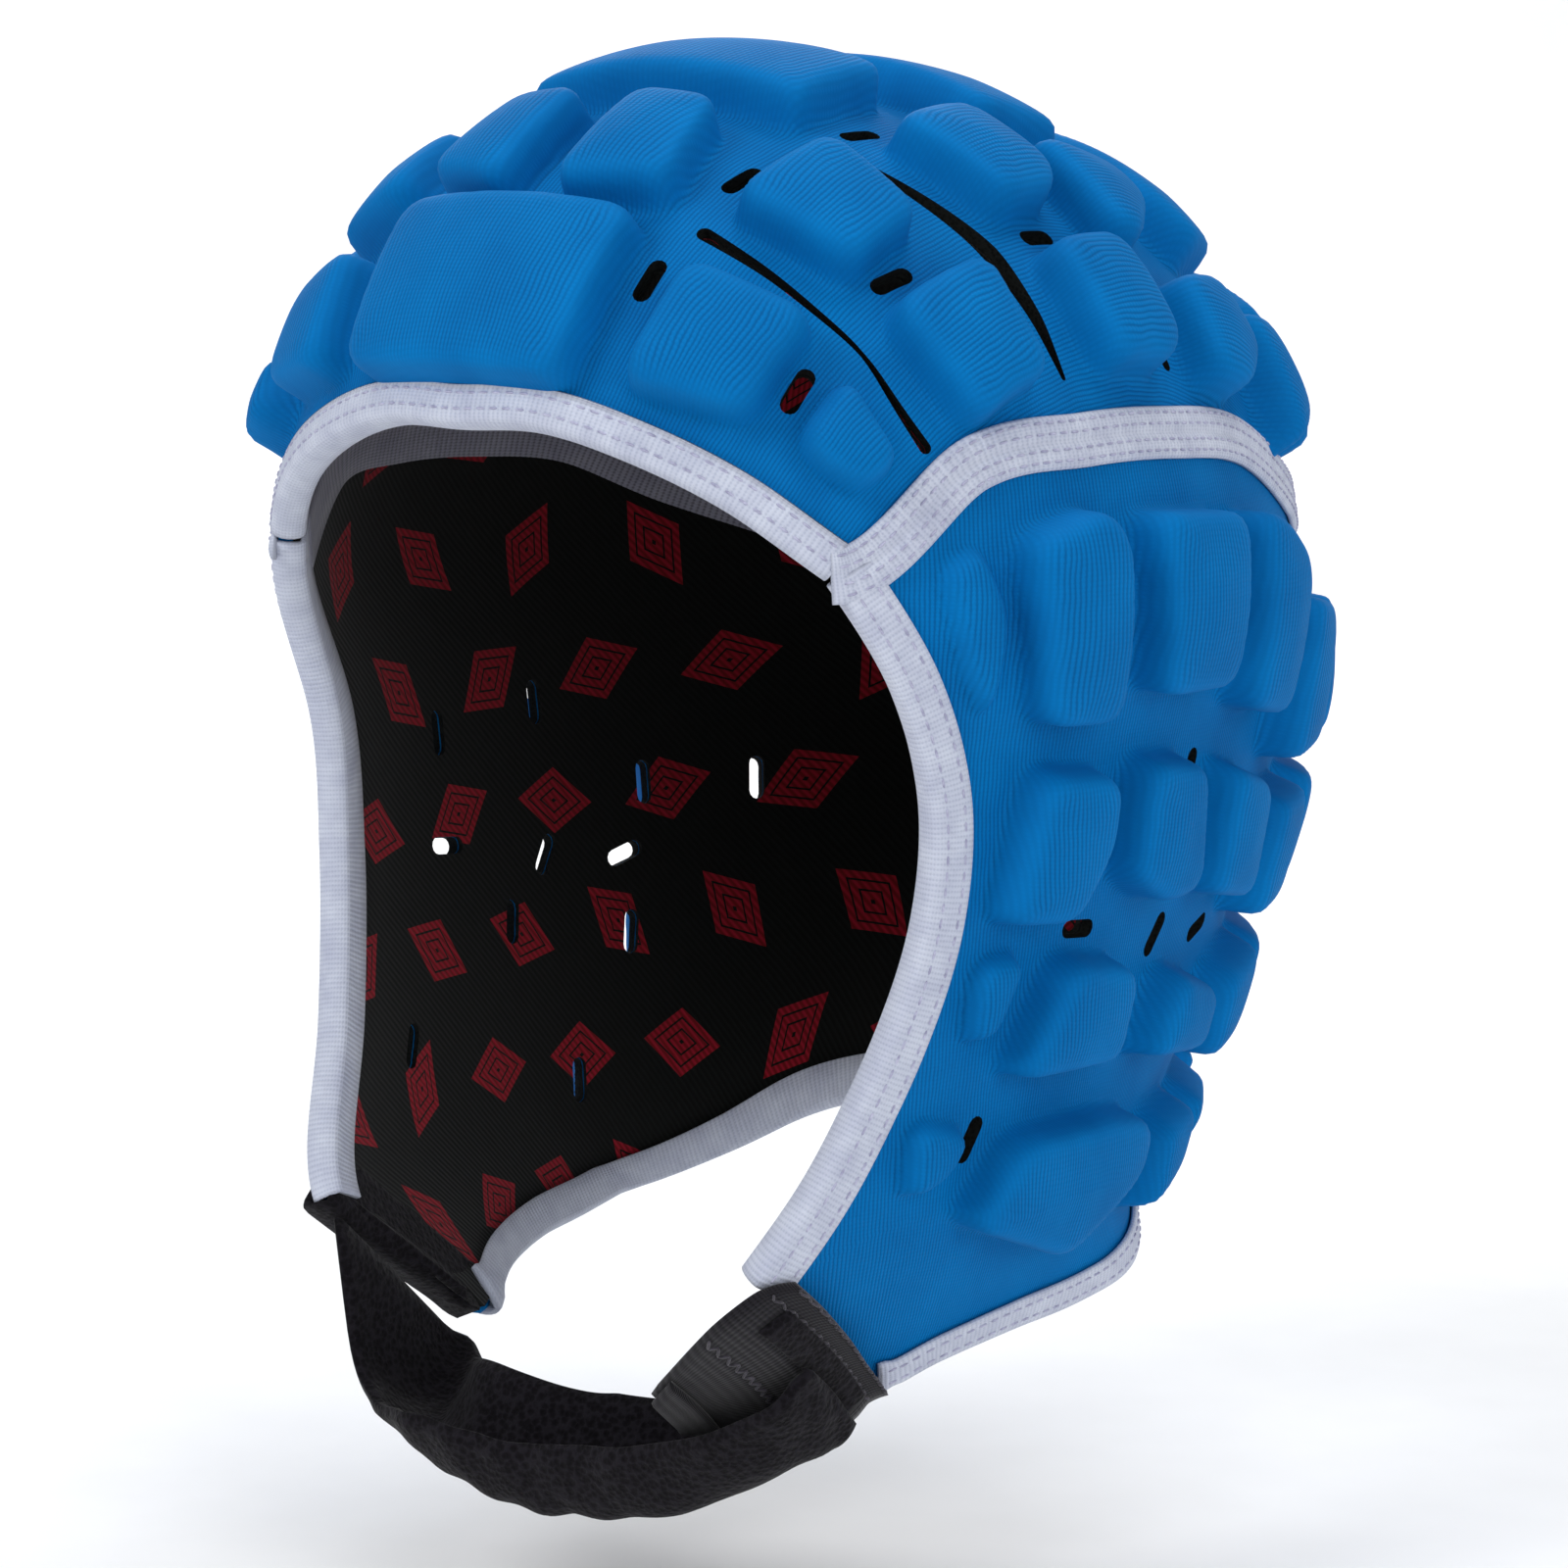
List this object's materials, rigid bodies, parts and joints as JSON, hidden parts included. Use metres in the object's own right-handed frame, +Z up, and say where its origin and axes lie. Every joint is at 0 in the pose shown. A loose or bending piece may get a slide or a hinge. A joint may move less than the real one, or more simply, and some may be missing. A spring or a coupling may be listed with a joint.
{
  "type": "rugby scrum cap",
  "caption": "Padded soft rugby headguard with a domed crown, ear-covering side panels, bound edges and a soft chin strap, open at the face and neck.",
  "frame": {"origin": "highest point of the lining's inside, where the top of the head sits", "axes": "+Z up, the face opening towards -Y, +X towards the wearer's left"},
  "size_m": [0.1956, 0.2114, 0.274],
  "materials": {
    "cover": "bright blue ribbed knit over foam, matt with a faint sheen",
    "lining": "near-black smooth knit lining",
    "edge_tape": "pale lilac-white woven tape, matt",
    "inner_tape": "grey woven tape, matt",
    "strap_webbing": "black looped webbing, matt"
  },
  "bodies": {
    "root": {"crown_panel": "cover", "side_panel_left": "cover", "side_panel_right": "cover", "crown_lining": "lining", "side_lining_left": "lining", "side_lining_right": "lining", "forehead_binding": "edge_tape", "cheek_binding_left": "edge_tape", "cheek_binding_right": "edge_tape", "neck_binding_left": "edge_tape", "neck_binding_right": "edge_tape", "seam_binding": "edge_tape", "back_seam_tape": "edge_tape", "inner_seam_tape": "inner_tape", "strap_tab_left": "strap_webbing", "strap_tab_right": "strap_webbing", "chin_strap": "strap_webbing"}
  },
  "joints": []
}
